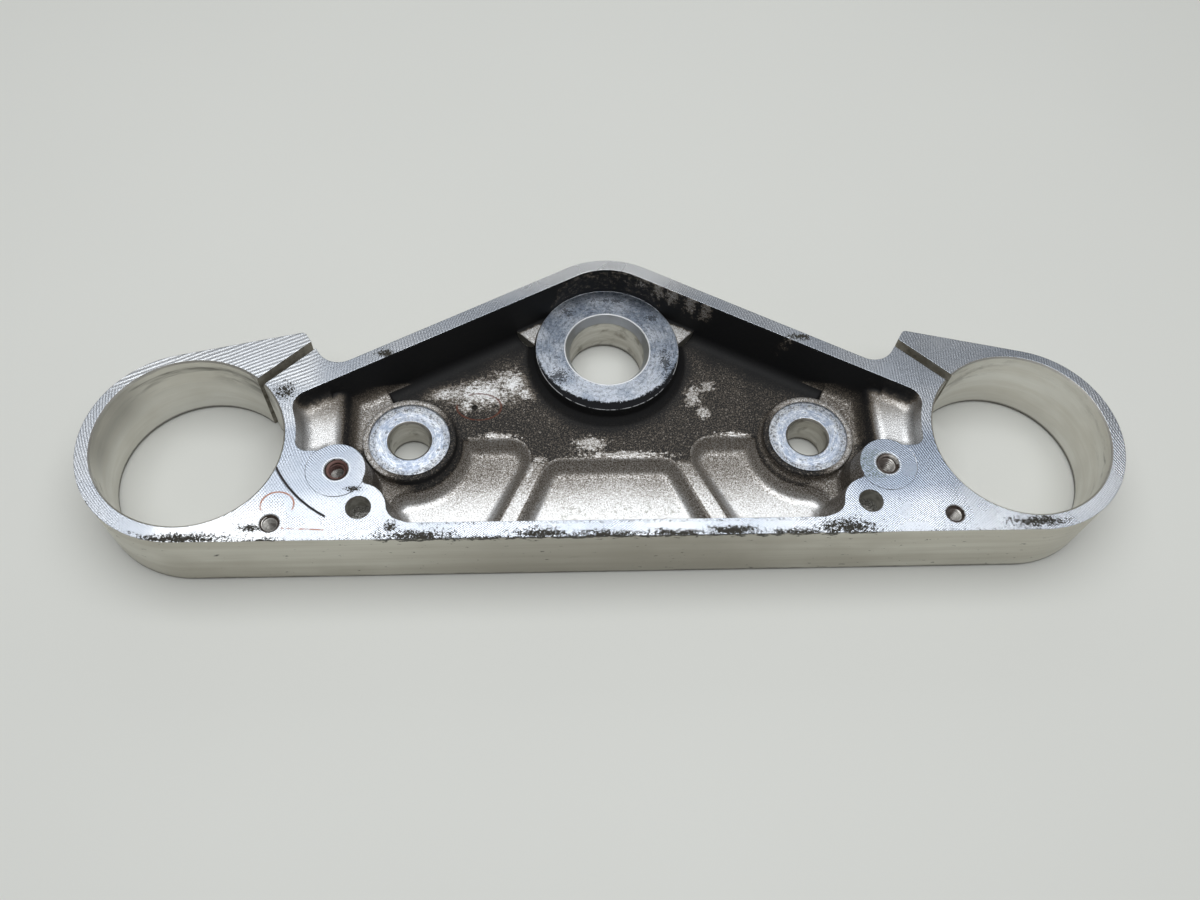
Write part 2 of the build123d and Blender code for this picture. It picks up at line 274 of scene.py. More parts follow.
def milled_face():
    """The machined upper face: crossing arcs of the fly cutter, smears of grime and chipped edges."""
    f = Finish("milled_face")
    reach = 62.0
    sweep = (reach * reach - (f.y + 18.0) * (f.y + 18.0)).math("MAXIMUM", 1.0).sqrt()
    wander = f.noise(9.0, 1.0) * 1.6
    out = ((f.x - sweep) * (2 * math.pi / 0.95) + wander).wave()
    back = ((f.x + sweep) * (2 * math.pi / 0.8) + wander).wave()
    coarse = ((f.x * 0.42 - f.y * 0.91) * (2 * math.pi / 1.2) + f.noise(14.0, 1.0) * 5.0).wave()
    slant = ((f.x + f.y) * (2 * math.pi / 0.9) + wander).wave()
    on_left_ear = f.fall(f.x, -92.0, -84.0) & f.rise(f.y, -24.0, -16.0)
    from_large = f.away_both(LARGE_THREAD)
    on_pad = f.fall(from_large, LARGE_FACE_R - 0.2, LARGE_FACE_R)
    weave = f.noise(26.0, 2.0)
    on_left_ring = f.fall(f.x, -118.0, -108.0)
    marks = out * f.rise(weave, 0.3, 0.6) * (1.0 - on_left_ring) * 0.8
    marks = marks + back * (f.fall(weave, 0.4, 0.7) | on_left_ring) * (0.8 - on_left_ring * 0.2)
    marks = marks * (1.0 - on_left_ear) + coarse * 0.8 * on_left_ear
    marks = marks * (1.0 - on_pad) + slant * 0.7 * on_pad
    grain = f.noise(0.4, 2.0)
    tint = f.noise(24.0, 3.0)
    colour = f.mix(f.rise(tint, 0.3, 0.7), tone(200, 206, 215), tone(222, 225, 229))
    dull = f.between(f.y, -54.0, -40.0, 8.0) * f.between(f.x, 72.0, 98.0, 8.0)
    left_dull = f.between(f.y, -53.0, -36.0, 6.0) * f.between(f.x, -98.0, -76.0, 7.0)
    colour = f.mix((dull * 0.6) | (left_dull * 0.36), colour, tone(106, 122, 146))
    # Painted highlight: the face turns near white towards the rear apex, on the left ear and at the left
    # end of the front strip, and its marks fade there
    rear_highlight = f.rise(f.y, 8.0, 22.0)
    front_left_highlight = f.fall(f.y, -64.0, -58.0) & f.between(f.x, -126.0, -97.0, 5.0)
    bright = (rear_highlight * 0.9) | (on_left_ear * 0.6) | (front_left_highlight * 0.8)
    colour = f.mix(bright, colour, tone(252, 253, 253))
    colour = f.mix((marks * 0.5 + 0.5) * (0.45 - rear_highlight * 0.2), colour, tone(112, 124, 140))
    colour = f.mix(f.rise(grain, 0.5, 0.75) * (0.5 - rear_highlight * 0.25), colour, tone(98, 106, 117))
    # Grime smeared along the edges, thick in places and broken into specks round them
    ragged = f.noise(2.4, 5.0, (0.55, 1.0, 1.0), 0.62)
    fine = f.noise(0.62, 4.0, roughness=0.75, shift=7.0)
    broken = (ragged - 0.5) * 1.2 + (fine - 0.5) * 5.0
    smears = f.blots([
        (-56.0, -69.8, 13.0, 2.6), (-38.0, -70.2, 10.0, 1.2), (-22.0, -69.2, 9.0, 2.2),
        (-4.0, -69.8, 14.0, 1.8), (16.0, -69.6, 10.0, 1.6), (32.0, -69.0, 9.0, 1.8),
        (50.0, -70.0, 9.0, 1.6), (65.0, -68.4, 9.0, 3.0), (-121.0, -69.0, 16.0, 1.8),
        (120.5, -67.4, 9.0, 1.8), (-99.0, -70.2, 9.0, 1.3), (-102.5, -66.0, 4.5, 1.2),
        (-97.0, -21.5, 3.4, 3.2), (-68.3, -8.3, 3.4, 1.6), (60.0, -2.6, 5.0, 1.4),
        (-153.0, -26.0, 1.2, 3.0), (-148.5, -60.0, 2.2, 3.0), (-64.0, -66.4, 2.4, 2.0),
        (-75.0, -54.2, 2.6, 0.9),
    ], broken, 0.3)
    rim = f.fall(f.y - FRONT_Y, 0.0, 1.2) & f.between(f.x, -118.0, 122.0, 3.0)
    chips = rim * f.rise(fine, 0.55, 0.62)
    pocket_edge = f.between(f.y, -65.7, -65.0, 0.5) & f.fall(f.side, 56.0, 58.0)
    chips = chips | (pocket_edge * f.rise(fine, 0.54, 0.6) * 0.8)
    ring_edge = f.rise(f.away_both(FORK), 30.3, 30.8) & f.fall(f.x, -128.0, -124.0)
    chips = chips | (ring_edge * f.rise(ragged + (fine - 0.5) * 0.6, 0.58, 0.64))
    pad_side = f.rise(LARGE_THREAD.x + LARGE_THREAD.y - f.side - f.y, 4.0, 9.0)
    pad_line = f.fall(abs(from_large - LARGE_FACE_R), 0.1, 0.3) * pad_side * f.rise(ragged, 0.36, 0.5)
    speckle = f.fall(f.away(76.2, -48.2), 3.5, 6.6) * f.rise(fine, 0.45, 0.58)
    dirt = smears | chips | (pad_line * 0.7)
    colour = f.mix(speckle * 0.7, colour, tone(82, 94, 80))
    # Painted highlight: a thin bright ring round the mouth of the large tapped hole
    mouth_highlight = f.between(from_large, LARGE_MOUTH_R + 0.05, LARGE_MOUTH_R + 0.35, 0.2)
    colour = f.mix(mouth_highlight * 0.35, colour, tone(230, 234, 238))
    colour = f.mix(dirt, colour, tone(50, 48, 42))
    # A dark scratch from the left bore and faint rust streaks beside it
    scratch = f.fall(abs(f.away(-64.0, -30.5) - 37.0), 0.2, 0.5) & f.between(f.x, -97.0, -82.3, 0.3)
    scratch = scratch & f.fall(f.y, -47.0, -46.5)
    loop = f.fall(abs(f.away(-95.6, -59.0, 4.6, 4.0) - 1.0), 0.03, 0.08) & f.rise(f.y, -61.0, -60.0)
    tail = f.fall(abs(f.y + 66.6 + (f.x + 87.0) * 0.06), 0.1, 0.32) & f.between(f.x, -93.5, -82.5, 0.5)
    rust = (loop | tail) * f.rise(f.noise(2.4, 1.0, shift=3.0), 0.3, 0.5)
    colour = f.mix(rust * 0.8, colour, tone(158, 92, 40))
    colour = f.mix(scratch, colour, tone(34, 32, 32))
    roughness = f.noise(18.0, 2.0) * 0.1 + 0.22 + dirt * 0.3 + speckle * 0.15
    height = marks * 0.7 + grain * 0.9 - dirt * 0.5 - scratch * 2.0
    normal = f.bump(height, 0.34, 0.05, f.worn_edge(0.25))
    metallic = 1.0 - dirt * 0.85 - scratch * 0.8 - rust * 0.7
    return f.done(colour, roughness, metallic, normal, gloss=0.2)


def side_wall():
    """The outer walls: satin, faintly streaked along their length, nicked and scuffed."""
    f = Finish("side_wall")
    streaks = f.noise(5.0, 4.0, (0.05, 0.05, 1.0), 0.6)
    cloud = f.noise(30.0, 3.0)
    colour = f.mix(f.rise(streaks, 0.3, 0.7), tone(196, 192, 180), tone(216, 214, 204))
    colour = f.mix(f.rise(cloud, 0.42, 0.72) * 0.45, colour, tone(168, 163, 150))
    nicks = f.rise(f.noise(2.0, 4.0, (0.6, 0.6, 1.4), 0.65, 5.0), 0.66, 0.7)
    scuffs = f.rise(f.noise(9.0, 5.0, (0.5, 0.5, 1.2), 0.7, 11.0), 0.62, 0.74)
    # Painted contact shadow: the wall darkens along its bottom edge, where it meets the floor
    low = f.fall(f.z + f.noise(3.0, 3.0, (0.4, 0.4, 1.0)) * 1.6, 1.3, 2.6)
    handled = f.fall(f.side, 20.0, 80.0) & f.fall(f.y, FRONT_Y + 0.5, FRONT_Y + 1.0)
    colour = f.mix(handled * 0.45, colour, tone(140, 134, 122))
    colour = f.mix(scuffs * 0.4, colour, tone(120, 112, 98))
    colour = f.mix(low * 0.75, colour, tone(70, 65, 58))
    blotch = f.noise(1.5, 5.0, (0.45, 0.45, 1.0), 0.7, 2.0)
    top = f.rise(f.z + blotch * 10.0, 30.0, 30.8) & f.fall(f.y, -69.6, -69.0)
    grimed = top & f.between(f.x, -66.0, 72.0, 4.0)
    colour = f.mix(grimed * 0.9, colour, tone(42, 41, 36))
    colour = f.mix(nicks * 0.85, colour, tone(44, 40, 35))
    # The nicks, and half of the painted contact shadow, also make the surface rougher and less metallic
    dirt = nicks | (low * 0.5)
    roughness = streaks * 0.12 + 0.34 + dirt * 0.2
    height = streaks * 0.6 - nicks * 1.5 + f.noise(0.8, 2.0) * 0.25
    normal = f.bump(height, 0.16, 0.08, f.worn_edge(0.35))
    return f.done(colour, roughness, 1.0 - dirt * 0.6, normal)


def outer_face():
    """The flat face that the clamp rests on: fine satin, lightly scratched from use."""
    f = Finish("outer_face")
    brushed = f.noise(4.0, 4.0, (0.06, 1.0, 1.0), 0.6)
    cloud = f.noise(40.0, 3.0)
    colour = f.mix(f.rise(brushed, 0.3, 0.7), tone(196, 197, 196), tone(214, 215, 214))
    colour = f.mix(f.rise(cloud, 0.45, 0.75) * 0.35, colour, tone(172, 170, 164))
    scratch = f.rise(f.noise(7.0, 3.0, (0.12, 1.6, 1.0), 0.6, 4.0), 0.66, 0.69)
    nicks = f.rise(f.noise(2.4, 4.0, (1.0, 1.0, 1.0), 0.65, 9.0), 0.68, 0.72)
    colour = f.mix(scratch * 0.5, colour, tone(140, 138, 132))
    colour = f.mix(nicks * 0.7, colour, tone(80, 76, 70))
    roughness = brushed * 0.1 + 0.33 + nicks * 0.2
    normal = f.bump(brushed * 0.5 - scratch - nicks, 0.15, 0.06, f.worn_edge(0.35))
    return f.done(colour, roughness, 1.0 - nicks * 0.5, normal)


def fork_bore():
    """The fork bores: smooth, with faint boring marks, rub marks and dark smudges near the mouth."""
    f = Finish("fork_bore")
    turns = (f.z * (2 * math.pi / 0.8) + f.noise(20.0, 2.0) * 4.0).wave()
    rub = f.noise(6.0, 4.0, (0.12, 0.12, 1.0), 0.65)
    cloud = f.noise(22.0, 3.0)
    colour = f.mix(f.rise(rub, 0.3, 0.7), tone(212, 209, 200), tone(228, 227, 221))
    colour = f.mix(f.rise(cloud, 0.4, 0.75) * 0.35, colour, tone(184, 180, 168))
    smudge = f.rise(f.noise(5.0, 5.0, (0.35, 0.35, 1.0), 0.7, 3.0), 0.5, 0.66)
    smudge = smudge * f.rise(f.z, 12.0, 23.0) * f.rise(f.noise(36.0, 1.0, shift=8.0), 0.4, 0.6)
    left_dark = f.fall(f.away(-147.0, -30.0), 6.0, 20.0) * f.rise(f.z, 6.0, 20.0)
    # Painted contact shadow round the lower end of the bore, where it meets the floor
    ring = f.fall(f.z, 0.8, 1.8)
    upper = f.fall(f.x, -104.0, -100.0) & f.rise(f.z, 12.0, 22.0) & f.rise(f.y, -34.0, -20.0)
    stain = (smudge * 0.7) | (left_dark * rub * 0.95) | (upper * f.rise(rub, 0.42, 0.6) * 0.8)
    colour = f.mix(stain, colour, tone(88, 84, 74))
    colour = f.mix(ring * 0.8, colour, tone(60, 56, 50))
    roughness = rub * 0.14 + 0.32 + stain * 0.15
    normal = f.bump(turns * 0.25 + rub * 0.5, 0.12, 0.05)
    return f.done(colour, roughness, 1.0 - stain * 0.4 - ring * 0.4, normal)


def turned_hole():
    """The stem bore and the handlebar holes: fine turning marks, a painted contact shadow at the lower end
    and a painted highlight on the stem bore's lead-in.
    """
    f = Finish("turned_hole")
    turns = (f.z * (2 * math.pi / 0.55) + f.noise(8.0, 2.0) * 3.0).wave()
    rub = f.noise(3.0, 4.0, (0.2, 0.2, 1.0), 0.65)
    colour = f.mix(f.rise(rub, 0.3, 0.7), tone(176, 172, 162), tone(206, 204, 197))
    stain = f.rise(f.noise(4.0, 4.0, shift=6.0), 0.52, 0.7) * 0.6
    # Painted contact shadow round the lower end of the holes, where they meet the floor
    low = f.fall(f.z, 0.8, 1.8)
    # Painted highlight on the lead-in at the mouth of the stem bore
    lead = f.rise(f.z, 12.8, 13.4)
    colour = f.mix(stain, colour, tone(116, 110, 98))
    colour = f.mix(low * 0.7, colour, tone(58, 54, 48))
    colour = f.mix(lead * 0.85, colour, tone(214, 219, 226))
    roughness = rub * 0.12 + 0.3 + stain * 0.2
    normal = f.bump(turns * 0.3 + rub * 0.4, 0.14, 0.05, f.worn_edge(0.3))
    return f.done(colour, roughness, 1.0 - stain * 0.3, normal)


def stem_face():
    """The faced stem boss: turning marks, rubbed streaks and a crescent of grime along its front."""
    f = Finish("stem_face")
    radius = f.away(0.0, 0.0)
    turns = (radius * (2 * math.pi / 0.5) + f.noise(7.0, 2.0) * 2.5).wave()
    streaks = f.round_streaks(f.x, f.y, 1.0)
    cloud = f.noise(9.0, 3.0, shift=2.0)
    worn = f.fall(f.y, -18.0, -4.0)
    fine = f.noise(0.5, 3.0, roughness=0.7, shift=8.0)
    bright = f.rise(cloud + worn * 0.12, 0.35, 0.65)
    colour = f.mix(bright, tone(158, 170, 188), tone(208, 215, 226))
    colour = f.mix((turns * 0.5 + 0.5) * 0.22, colour, tone(128, 137, 150))
    grey = f.rise(streaks, 0.46, 0.62) * (1.0 - worn * 0.6)
    colour = f.mix(grey * 0.65, colour, tone(98, 104, 112))
    colour = f.mix(f.rise(fine, 0.52, 0.66) * 0.6, colour, tone(72, 76, 84))
    mottle = f.noise(1.1, 4.0, roughness=0.75, shift=13.0)
    colour = f.mix(f.rise(mottle, 0.52, 0.64) * (0.6 - worn * 0.3), colour, tone(66, 70, 78))
    colour = f.mix(f.fall(mottle, 0.36, 0.46) * 0.4, colour, tone(236, 239, 244))
    ragged = f.noise(2.0, 5.0, roughness=0.68, shift=5.0)
    crescent = f.away(0.0, 3.4) + (ragged - 0.5) * 3.0 + (fine - 0.5) * 2.0
    crescent = f.rise(crescent, STEM_FACE_R + 0.1, STEM_FACE_R + 0.8)
    patches = f.blots([(-15.6, -10.5, 4.0, 3.6), (-12.5, 14.5, 2.6, 2.0), (14.6, 12.0, 3.0, 1.2),
                       (18.5, -5.0, 2.2, 6.0), (2.0, 19.0, 6.0, 1.0)],
                      (ragged - 0.5) * 2.4 + (fine - 0.5) * 4.0, 0.4)
    dark = crescent | (patches * 0.8)
    colour = f.mix(dark, colour, tone(22, 23, 26))
    # Painted highlights: a broken bright line inside the face's outer edge and a bright ring round the
    # mouth of the bore
    edge = f.rise(radius, STEM_FACE_R - 0.3, STEM_FACE_R - 0.15) * f.rise(ragged, 0.4, 0.55)
    edge = (edge * 0.45) | f.fall(radius, STEM_LEAD_R + 0.3, STEM_LEAD_R + 0.5)
    colour = f.mix(edge, colour, tone(236, 238, 240))
    roughness = cloud * 0.1 + 0.26 + dark * 0.35 + grey * 0.08
    normal = f.bump(turns * 0.4 + streaks * 0.8 - dark * 0.4, 0.2, 0.05, f.worn_edge(0.3))
    return f.done(colour, roughness, 1.0 - dark * 0.9 * (1.0 - edge), normal, gloss=0.12)


def riser_face():
    """The faced handlebar bosses: bright rings worn by washers, ending in a thin dark line of painted
    shade at the step round the face.
    """
    f = Finish("riser_face")
    radius = f.away_both(RISER)
    turns = (radius * (2 * math.pi / 0.6) + f.noise(6.0, 2.0) * 2.0).wave()
    streaks = f.round_streaks(f.side - RISER.x, f.y - RISER.y, 0.9)
    cloud = f.noise(5.0, 4.0, roughness=0.6)
    fine = f.noise(0.5, 3.0, shift=4.0)
    bright = f.rise(streaks + (cloud - 0.5) * 0.5, 0.38, 0.62)
    colour = f.mix(bright, tone(166, 178, 198), tone(238, 242, 247))
    colour = f.mix((turns * 0.5 + 0.5) * 0.25, colour, tone(126, 140, 160))
    inner = f.fall(radius, 7.0, 9.4) * f.rise(cloud, 0.42, 0.6)
    colour = f.mix(inner * 0.55, colour, tone(112, 126, 148))
    colour = f.mix(f.rise(fine, 0.54, 0.7) * 0.5, colour, tone(88, 96, 110))
    outer = f.rise(radius + (cloud - 0.5) * 2.0, 9.6, 10.8)
    colour = f.mix(outer * 0.45, colour, tone(150, 151, 152))
    colour = f.mix(outer * f.rise(fine, 0.48, 0.6) * 0.7, colour, tone(86, 86, 86))
    scuff = f.rise(streaks * 0.6 + f.noise(1.6, 4.0, shift=9.0) * 0.6, 0.68, 0.74)
    colour = f.mix(scuff * 0.7, colour, tone(70, 76, 88))
    # Painted shade: a thin dark line at the foot of the step round the face
    step_shade = f.rise(radius, RISER_FACE_R - 0.45, RISER_FACE_R - 0.2)
    colour = f.mix(step_shade * 0.25, colour, tone(110, 110, 110))
    roughness = cloud * 0.1 + 0.27 + scuff * 0.2 + step_shade * 0.2
    height = turns * 0.4 + streaks * 0.8 + fine * 0.3 - scuff * 0.4
    normal = f.bump(height, 0.2, 0.05, f.worn_edge(0.25))
    return f.done(colour, roughness, 1.0 - scuff * 0.3 - step_shade * 0.3, normal, gloss=0.2)


def cast_pocket():
    """The pocket as forged: grainy, dark at the rear with grime and painted shade, rubbed bright where
    parts touched, with painted shadows and highlights.
    """
    f = Finish("cast_pocket")
    _, _, up = f.facing()
    grain = f.noise(0.26, 2.0, roughness=0.6)
    speck = f.noise(0.42, 3.0, roughness=0.7, shift=3.0)
    cloud = f.noise(13.0, 4.0, roughness=0.6)
    ragged = f.noise(1.8, 5.0, roughness=0.68, shift=6.0)
    strokes = f.noise(0.6, 4.0, (0.5, 1.0, 1.0), 0.7, 9.0)
    broken = (ragged - 0.5) * 1.6 + (strokes - 0.5) * 1.4
    right_half = f.rise(f.x, -10.0, 10.0)
    # Distances from the rear wall, the bosses and the middle of the ribs
    rear = INNER_NOSE_R - f.side * math.sin(REAR_ANGLE) - f.y * math.cos(REAR_ANGLE)
    rear = rear - (THICKNESS - f.z) * math.tan(POCKET_DRAFT)
    stem = f.away(0.0, 0.0) - STEM_FACE_R
    riser = f.away_both(RISER) - RISER_FACE_R
    rib = f.side - 23.5 + (f.y + 40.0) * 0.47
    # Which part of the pocket this is
    in_dish = f.rise(f.z, DISH_Z - 2.4, DISH_Z - 0.2) & f.rise(f.side, DISH_X - 2.0, DISH_X + 1.5)
    ledge_top = f.fall(f.z + (ragged - 0.5) * 3.0, LEDGE_Z + 2.6, LEDGE_Z + 6.2)
    ledge_end = f.rise(f.side - (f.z - LEDGE_Z) * 2.2, 61.0, 64.5) & f.rise(f.y, -36.0, -32.0)
    on_ledge = f.rise(f.z, LEDGE_Z - 0.6, LEDGE_Z - 0.3) & ledge_top & ledge_end
    pad_wall = f.fall(f.y, -42.0, -37.0) & f.rise(f.side, 57.0, 62.0) & f.rise(f.z, 8.4, 9.4)
    low_bank = f.fall(f.z, 5.1, 7.8)
    bank = f.fall(f.z, 8.7, 9.5)
    lip = f.rise(f.z, 8.6, 9.1) & f.fall(f.z, 9.8, 9.98) & f.rise(riser, 4.0, 6.0)
    on_rib = f.fall(abs(rib), 1.8, 3.4) & f.fall(f.y, -39.0, -36.0) & f.between(f.z, 9.7, 10.4, 0.7)
    front_wall = f.fall(f.y, -60.0, -56.0) & f.rise(f.z, 9.0, 11.0) & f.fall(f.side, 62.0, 66.0)
    on_rim = f.fall(riser, 1.8, 2.1) & f.rise(f.z, 12.4, 12.9)
    riser_wall = f.fall(riser, 2.4, 3.6) & f.fall(f.z, 12.2, 12.8) & right_half
    # How light the metal is, from black at 0 (grime and painted shade) to rubbed bright at 1, with painted
    # highlights worked in
    lightness = cloud * 0.24 + 0.04
    patch = f.blots([(-40.0, -12.5, 21.0, 9.5), (-30.0, -9.0, 12.0, 9.0), (-51.0, -12.5, 12.0, 5.5),
                     (-25.5, -12.5, 6.5, 5.0), (-44.8, -17.0, 5.0, 4.6)], broken, 0.9)
    lightness = lightness + patch * (strokes * 0.6 + 0.5)
    rubbed = f.blots([(-6.0, -31.5, 9.0, 4.8), (-35.0, -28.6, 10.0, 2.8), (27.0, -14.0, 4.8, 6.6),
                      (32.0, -10.5, 4.0, 3.4), (30.0, -20.5, 3.6, 4.0), (38.0, -28.6, 9.0, 2.0),
                      (4.0, -35.4, 24.0, 2.4), (-25.2, -40.5, 2.4, 6.0), (-22.0, -37.0, 3.6, 2.2)],
                     broken, 0.6)
    ahead = f.fall(f.y, -55.0, -37.0)
    lightness = lightness * (1.0 - bank) + bank * (0.52 + low_bank * (ahead * 0.42 + (cloud - 0.5) * 0.2))
    lightness = lightness | (lip * (strokes * 0.5 + 0.28))
    lightness = lightness | (on_rib * (strokes * 0.6 + ahead * 0.36 + 0.2))
    lightness = lightness | (rubbed * (strokes * 0.9 + 0.2))
    lightness = lightness | (on_ledge * (0.58 - right_half * 0.14)) | (pad_wall * 0.46) | (riser_wall * 0.38)
    lightness = lightness | (front_wall * (cloud * 0.4 + 0.26))
    # Painted highlight towards the front of the dishes, darker at their rear
    dish_front_highlight = f.fall(f.y, -33.0, -21.0)
    lightness = lightness * (1.0 - in_dish) + in_dish * (dish_front_highlight * 0.42 + 0.46 + right_half * 0.06)
    web = f.between(f.z, WEB_Z - 0.2, WEB_Z + 0.2, 0.1) & f.rise(up, 0.8, 0.95)
    bare_web = web * f.rise(rear + (ragged - 0.5) * 2.0, 0.3, 1.6) * f.rise(stem, 0.2, 0.8)
    lightness = lightness | (bare_web * 0.8)
    # Darkening: grime together with painted shade along the rear wall and round the stem boss's foot,
    # painted shade on steep walls, darker step faces, and painted shadow at the handlebar bosses
    spared = on_rim | pad_wall | front_wall | (riser_wall * 0.8)
    steep_wall_shade = f.fall(up, 0.3, 0.7) * f.rise(f.z, 9.2, 10.4) * (1.0 - spared)
    kept_clean = 1.0 - (in_dish | on_ledge | bare_web)
    rear_grime_and_shade = f.fall(rear + (cloud - 0.5) * 7.0, 0.6, 9.5) * kept_clean
    rear_grime_and_shade = rear_grime_and_shade | (f.fall(rear + (ragged - 0.5) * 2.8, -0.2, 2.0) * (1.0 - (bare_web | on_ledge)))
    stem_foot_grime_and_shade = f.fall(stem + (cloud - 0.5) * 3.0, 0.8, 7.0) * (1.0 - bare_web)
    # Painted shadow of the handlebar bosses: dark on their walls and in a halo on the floor on the inner,
    # front side, strongest on the left
    inward = ((f.side - RISER.x) * -0.8 - (f.y - RISER.y) * 0.6) / (riser + RISER_FACE_R)
    shaded = f.rise(inward, 0.0, 0.75) * ((1.0 - right_half) * 0.8 + 0.2)
    riser_shadow = f.fall(riser, 1.9, 2.4) * f.fall(f.z, 12.2, 13.1) * (shaded * 0.9 + 0.1)
    riser_shadow = riser_shadow | (f.fall(riser, 1.5, 7.0) * f.rise(f.z, 7.8, 9.8) * shaded * 0.4)
    step = f.between(f.side, 70.0, 79.5, 2.4) & f.between(f.z, 13.0, 18.5, 1.2)
    ledge_side = f.between(f.z, FLOOR_Z + 0.15, LEDGE_Z - 0.45, 0.2) & f.rise(f.side, 44.0, 50.0)
    ledge_side = ledge_side * f.rise(f.y, -24.0, -16.0)
    dark_grime_and_shade = rear_grime_and_shade | stem_foot_grime_and_shade | riser_shadow | (step * 0.4) | (ledge_side * 0.8)
    dark_grime_and_shade = (dark_grime_and_shade | (steep_wall_shade * 0.5 * (1.0 - in_dish))) * (1.0 - on_rim)
    # Painted shade darkens the rims of the handlebar bosses on their inner, front side
    rim_tone_and_shade = (ragged * 0.5 + 0.36) * (1.0 - f.rise(inward, -0.1, 0.6) * 0.85)
    lightness = lightness * (1.0 - on_rim) + on_rim * rim_tone_and_shade
    # Scrapes on the rear wall, and the worn edge of the cut behind the stem boss, lit as a painted
    # highlight
    scrape = f.blots([(8.5, 23.2, 6.0, 2.6), (13.0, 20.8, 5.4, 3.4), (17.0, 17.4, 4.0, 4.0),
                      (22.0, 15.0, 6.0, 3.0), (27.5, 12.0, 5.0, 3.0), (31.5, 9.6, 3.4, 3.2),
                      (60.0, -3.5, 9.0, 1.6)], broken, 0.6)
    scraped_z = f.z + (ragged - 0.5) * 14.0 - f.fall(f.x, 18.0, 28.0) * 1.5
    scrape = scrape & f.rise(scraped_z, 18.4, 21.0)
    cut_edge_wear_and_highlight = f.fall(abs(stem - 0.2), 0.15, 0.4) & f.rise(f.z, 17.0, 18.0)
    scrape = scrape | (cut_edge_wear_and_highlight * f.rise(ragged, 0.4, 0.6) * 0.8)
    dark_grime_and_shade = dark_grime_and_shade * (1.0 - scrape * 0.9)
    lightness = lightness | (scrape * 0.62)
    lightness = lightness * (1.0 - dark_grime_and_shade)
    grainy = (1.0 - dark_grime_and_shade * 0.8) * (1.0 - in_dish * 0.5)
    lightness = lightness + ((speck - 0.5) * 1.4 + (grain - 0.5)) * grainy
    glint = f.rise(f.noise(0.7, 2.0, roughness=0.7, shift=15.0), 0.54, 0.68)
    lightness = lightness + glint * (0.34 - lightness * 0.3) * (1.0 - dark_grime_and_shade)
    lightness = lightness.within()
    colour = f.ramp(lightness, (0.0, tone(14, 15, 17)), (1.0, tone(232, 233, 234)),
                    (0.2, tone(44, 41, 38)), (0.45, tone(104, 96, 86)), (0.7, tone(172, 169, 165)))
    green = f.rise(f.noise(1.4, 3.0, shift=12.0), 0.56, 0.68) & low_bank
    green = green & f.fall(f.y, -54.0, -46.0) & f.between(f.x, -14.0, 26.0, 6.0)
    colour = f.mix(green * 0.55, colour, tone(96, 98, 74))
    pit = f.fall(f.away(-42.1, -17.8), 0.8, 1.2) & f.fall(f.z, 10.2, 10.6)
    ring = f.fall(abs(f.away(-40.7, -17.6, 6.9, 4.8) - 1.0), 0.02, 0.075) * f.rise(ragged, 0.32, 0.52)
    ring = ring & f.fall(f.z, 10.2, 10.6) & (f.rise(f.x, -44.5, -43.5) | f.fall(f.y, -17.4, -16.6))
    colour = f.mix(ring * 0.85, colour, tone(92, 48, 32))
    colour = f.mix(pit, colour, tone(26, 24, 22))
    shine = f.rise(lightness, 0.24, 0.84)
    roughness = 0.66 - shine * 0.27 + (speck - 0.5) * 0.1 - in_dish * 0.12
    height = grain * 0.6 + speck + cloud * 0.8 - pit * 3.0
    normal = f.bump(height, 0.4, 0.1, f.worn_edge(1.2))
    return f.done(colour, roughness, shine * 0.92, normal, gloss=0.3)


def cut_wall():
    """Walls left by the saw and the drill: dull, dark and lightly ridged."""
    f = Finish("cut_wall")
    ridges = (f.z * (2 * math.pi / 0.45) + f.noise(5.0, 2.0) * 4.0).wave()
    cloud = f.noise(4.0, 4.0, roughness=0.6)
    colour = f.mix(f.rise(cloud, 0.3, 0.7), tone(152, 147, 134), tone(190, 186, 176))
    stain = f.rise(f.noise(2.2, 4.0, shift=5.0), 0.5, 0.68)
    colour = f.mix(stain * 0.6, colour, tone(96, 91, 80))
    normal = f.bump(ridges * 0.3 + cloud, 0.2, 0.08)
    return f.done(colour, cloud * 0.2 + 0.42, 0.5 - stain * 0.2, normal)


def dowel_hole():
    """The plain blind holes: dull drilled walls over a dusty floor."""
    f = Finish("dowel_hole")
    _, _, up = f.facing()
    speck = f.noise(0.5, 4.0, roughness=0.65)
    cloud = f.noise(2.0, 3.0, shift=3.0)
    wall = f.mix(f.rise(cloud, 0.35, 0.65), tone(148, 145, 136), tone(186, 184, 176))
    dust = f.mix(f.rise(speck, 0.42, 0.6), tone(84, 82, 76), tone(226, 225, 221))
    colour = f.mix(f.rise(up, 0.5, 0.9) | (f.fall(f.z, 19.6, 21.0) * 0.8), wall, dust)
    mouth = f.rise(f.z, THICKNESS - 1.4, THICKNESS - 0.2)
    colour = f.mix(mouth * f.rise(speck, 0.5, 0.6), colour, tone(80, 62, 44))
    return f.done(colour, speck * 0.2 + 0.42, 0.3, f.bump(speck + cloud, 0.3, 0.1))


def thread_root(name, place, mouth_r):
    """Tapped holes: dark roots of the thread, painted as the shade inside the hole, under a bright ring of
    painted highlight where the mouth was cut.
    """
    f = Finish(name)
    cloud = f.noise(1.6, 4.0, roughness=0.6)
    fine = f.noise(0.4, 3.0, shift=4.0)
    # Painted highlight: a broken bright ring at the top of the mouth, over the painted shade of the roots
    rim = f.rise(f.away_both(place), mouth_r - 0.28, mouth_r - 0.18)
    colour = f.mix(f.rise(cloud, 0.3, 0.7), tone(44, 37, 33), tone(72, 63, 56))
    colour = f.mix(rim * f.rise(fine + cloud, 0.8, 0.95), colour, tone(218, 220, 222))
    normal = f.bump(cloud + fine * 0.5, 0.2, 0.04)
    return f.done(colour, cloud * 0.2 + 0.34, rim * 0.9, normal, gloss=0.2)


